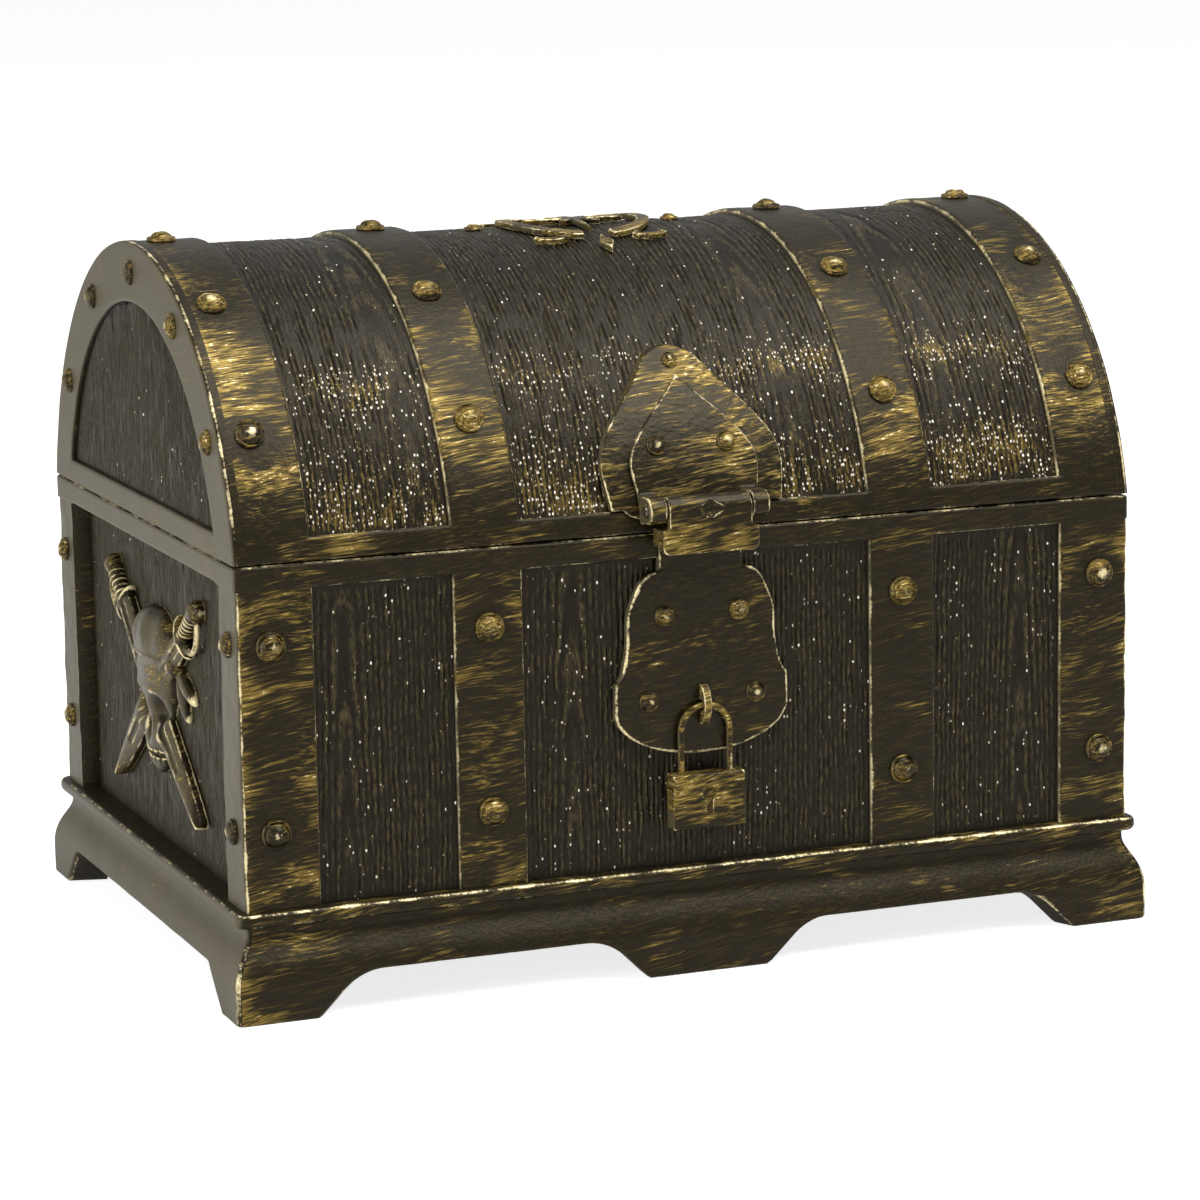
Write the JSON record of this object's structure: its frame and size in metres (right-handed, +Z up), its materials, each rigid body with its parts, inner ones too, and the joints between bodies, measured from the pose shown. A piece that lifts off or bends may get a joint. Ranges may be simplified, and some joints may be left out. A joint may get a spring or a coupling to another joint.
{
  "type": "treasure chest box",
  "caption": "Small barrel-topped treasure chest box on a footed plinth, with studded straps, hinged lid, hasp over a bell-shaped lock plate and a hanging padlock.",
  "frame": {"origin": "centre of the whole chest's bounding box in plan, on the floor", "axes": "+X along the front to the viewer's right, +Y from the front to the back, +Z up"},
  "size_m": [0.1548, 0.1141, 0.1155],
  "materials": {
    "brushed_frame": "moulded dark brown-black plastic, antique gold dry-brushed over it",
    "plank_panel": "moulded wood grain, dark with fine gold glints",
    "inner_shell": "plain moulded plastic, dark brown-black",
    "gold_relief": "moulded relief with rubbed gold on the high places",
    "lock_fittings": "moulded fittings, dark with horizontal gold brush marks",
    "steel_pin": "drawn wire"
  },
  "bodies": {
    "chest": {"tub": "inner_shell", "front_panel_left": "plank_panel", "front_panel_centre": "plank_panel", "front_panel_right": "plank_panel", "back_panel_left": "plank_panel", "back_panel_centre": "plank_panel", "back_panel_right": "plank_panel", "left_end_panel": "plank_panel", "right_end_panel": "plank_panel", "corner_post_front_left": "brushed_frame", "corner_post_front_right": "brushed_frame", "corner_post_back_left": "brushed_frame", "corner_post_back_right": "brushed_frame", "front_strap_left": "brushed_frame", "front_strap_right": "brushed_frame", "back_strap_left": "brushed_frame", "back_strap_right": "brushed_frame", "rim_rail": "brushed_frame", "lip_moulding": "brushed_frame", "plinth_front": "brushed_frame", "plinth_back": "brushed_frame", "plinth_left": "brushed_frame", "plinth_right": "brushed_frame", "body_studs": "gold_relief", "left_end_ornament": "gold_relief", "right_end_ornament": "gold_relief", "lock_plate": "lock_fittings", "lock_plate_rivets": "gold_relief", "lock_staple": "lock_fittings", "box_hinge_leaf_left": "lock_fittings", "box_hinge_leaf_right": "lock_fittings", "box_hinge_rivets": "gold_relief", "hinge_pins": "steel_pin"},
    "lid": {"lid_shell": "inner_shell", "lid_rail_front": "brushed_frame", "lid_rail_back": "brushed_frame", "lid_panel_left": "plank_panel", "lid_panel_centre": "plank_panel", "lid_panel_right": "plank_panel", "lid_strap_left": "brushed_frame", "lid_strap_right": "brushed_frame", "lid_end_band_left": "brushed_frame", "lid_end_band_right": "brushed_frame", "lid_end_frame_left": "brushed_frame", "lid_end_frame_right": "brushed_frame", "lid_end_panel_left": "plank_panel", "lid_end_panel_right": "plank_panel", "lid_studs": "gold_relief", "lid_emblem": "gold_relief", "hasp_back_plate": "lock_fittings", "hasp_plate": "lock_fittings", "hasp_rivets": "gold_relief", "hasp_pin": "steel_pin", "lid_hinge_leaf_left": "lock_fittings", "lid_hinge_leaf_right": "lock_fittings", "lid_hinge_rivets": "gold_relief"},
    "hasp": {"hasp_flap": "lock_fittings"},
    "padlock": {"padlock_body": "lock_fittings", "padlock_shackle": "lock_fittings"}
  },
  "joints": [
    {"name": "lid_hinge", "type": "hinge", "parent": "chest", "child": "lid", "pos_m": [0, 0.05505, 0.07], "axis": [-1, 0, 0], "range_deg": [0, 105]},
    {"name": "hasp_hinge", "type": "hinge", "parent": "lid", "child": "hasp", "pos_m": [0, -0.05495, 0.074], "axis": [-1, 0, 0], "range_deg": [0, 150]},
    {"name": "padlock_swing", "type": "hinge", "parent": "chest", "child": "padlock", "pos_m": [0, -0.05335, 0.04265], "axis": [-1, 0, 0], "range_deg": [0, 75]}
  ]
}
